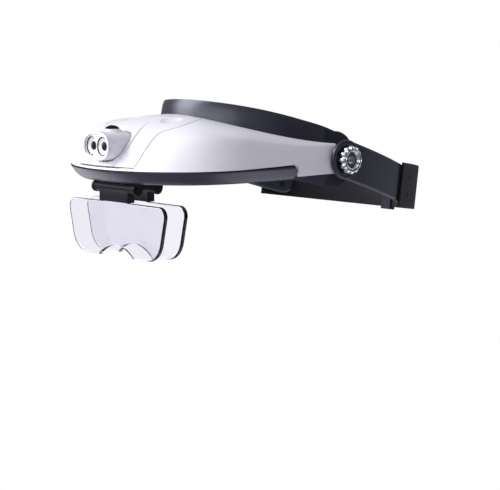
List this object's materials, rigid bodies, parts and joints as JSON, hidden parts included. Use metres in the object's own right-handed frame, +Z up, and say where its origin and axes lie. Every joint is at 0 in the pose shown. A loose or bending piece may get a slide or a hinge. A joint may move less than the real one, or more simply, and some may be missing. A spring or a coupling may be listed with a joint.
{
  "type": "lighted headband magnifier",
  "caption": "White visor with a tilting lamp and hinged clear lens plates, worn on a forehead band and an adjustable rear strap with temple knobs.",
  "frame": {"origin": "middle of the head opening, on the axis through both temple pivots", "axes": "the wearer faces -Y, the wearer's left is +X and up is +Z; the temple pivots lie on the X axis"},
  "size_m": [0.1932, 0.3097, 0.1122],
  "materials": {
    "band_plastic": "satin",
    "foam": "soft foam skin",
    "steel": "bright",
    "blackened_steel": "blackened",
    "washer_plastic": "matte",
    "white_plastic": "gloss",
    "rim_plastic": "satin",
    "tray_plastic": "matte",
    "cell_jacket": "gloss",
    "spring_steel": "bright",
    "black_plastic": "satin",
    "lead_sleeve": "smooth",
    "bezel_plastic": "gloss",
    "mirror_coat": "mirror",
    "diode_resin": "clear resin",
    "clear_acrylic": "clear",
    "board": "matte",
    "button_rubber": "smooth",
    "knob_chrome": "plated",
    "webbing": "elastic webbing"
  },
  "bodies": {
    "headband": {"forehead_band": "band_plastic", "brow_pad": "foam", "pivot_studs": "steel", "friction_washers": "washer_plastic"},
    "visor": {"visor_shell": "white_plastic", "centre_panel": "white_plastic", "visor_rim": "rim_plastic", "battery_tray": "tray_plastic", "battery_cells": "cell_jacket", "contact_plates": "spring_steel", "contact_springs": "spring_steel", "lens_bracket": "black_plastic", "hinge_pins": "blackened_steel", "bracket_screws": "steel", "tray_screws": "steel", "lamp_lead": "lead_sleeve"},
    "battery_door": {"battery_door": "tray_plastic"},
    "lamp": {"lamp_housing": "white_plastic", "lamp_bezel": "bezel_plastic", "lamp_reflector": "mirror_coat", "lamp_leds": "diode_resin", "lamp_window": "clear_acrylic", "circuit_board": "board", "tact_switch": "black_plastic", "lamp_pins": "steel", "button_spring": "spring_steel"},
    "power_button": {"power_button": "button_rubber"},
    "front_lens": {"front_clip": "black_plastic", "front_lens_plate": "clear_acrylic"},
    "rear_lens": {"rear_clip": "black_plastic", "rear_lens_plate": "clear_acrylic"},
    "left_knob": {"left_knob": "knob_chrome"},
    "right_knob": {"right_knob": "knob_chrome"},
    "rear_strap": {"left_strap_tab": "band_plastic", "right_strap_tab": "band_plastic", "rear_strap": "webbing", "strap_rivets": "black_plastic", "strap_keeper": "band_plastic"}
  },
  "joints": [
    {"name": "visor_tilt", "type": "hinge", "parent": "headband", "child": "visor", "pos_m": [0, 0, 0], "axis": [-1, 0, 0], "range_deg": [-10, 60]},
    {"name": "battery_door_slide", "type": "slide", "parent": "visor", "child": "battery_door", "axis": [1, 0, 0], "range_m": [0, 0.028]},
    {"name": "lamp_tilt", "type": "hinge", "parent": "visor", "child": "lamp", "pos_m": [0, -0.1415, 0.0124], "axis": [-1, 0, 0], "range_deg": [-3, 8]},
    {"name": "power_button_press", "type": "slide", "parent": "lamp", "child": "power_button", "axis": [0, 0, -1], "range_m": [0, 0.001], "stiffness_N_per_m": 600, "springref_m": -0.0005, "deforming": ["button_spring"]},
    {"name": "front_lens_flip", "type": "hinge", "parent": "visor", "child": "front_lens", "pos_m": [0, -0.144, -0.0182], "axis": [-1, 0, 0], "range_deg": [0, 95]},
    {"name": "rear_lens_flip", "type": "hinge", "parent": "visor", "child": "rear_lens", "pos_m": [0, -0.126, -0.0182], "axis": [1, 0, 0], "range_deg": [-4, 35]},
    {"name": "left_knob_turn", "type": "hinge", "parent": "headband", "child": "left_knob", "pos_m": [0, 0, 0], "axis": [1, 0, 0], "range_deg": [0, 360]},
    {"name": "right_knob_turn", "type": "hinge", "parent": "headband", "child": "right_knob", "pos_m": [0, 0, 0], "axis": [-1, 0, 0], "range_deg": [0, 360]},
    {"name": "rear_strap_tilt", "type": "hinge", "parent": "headband", "child": "rear_strap", "pos_m": [0, 0, 0], "axis": [1, 0, 0], "range_deg": [-15, 25]}
  ]
}
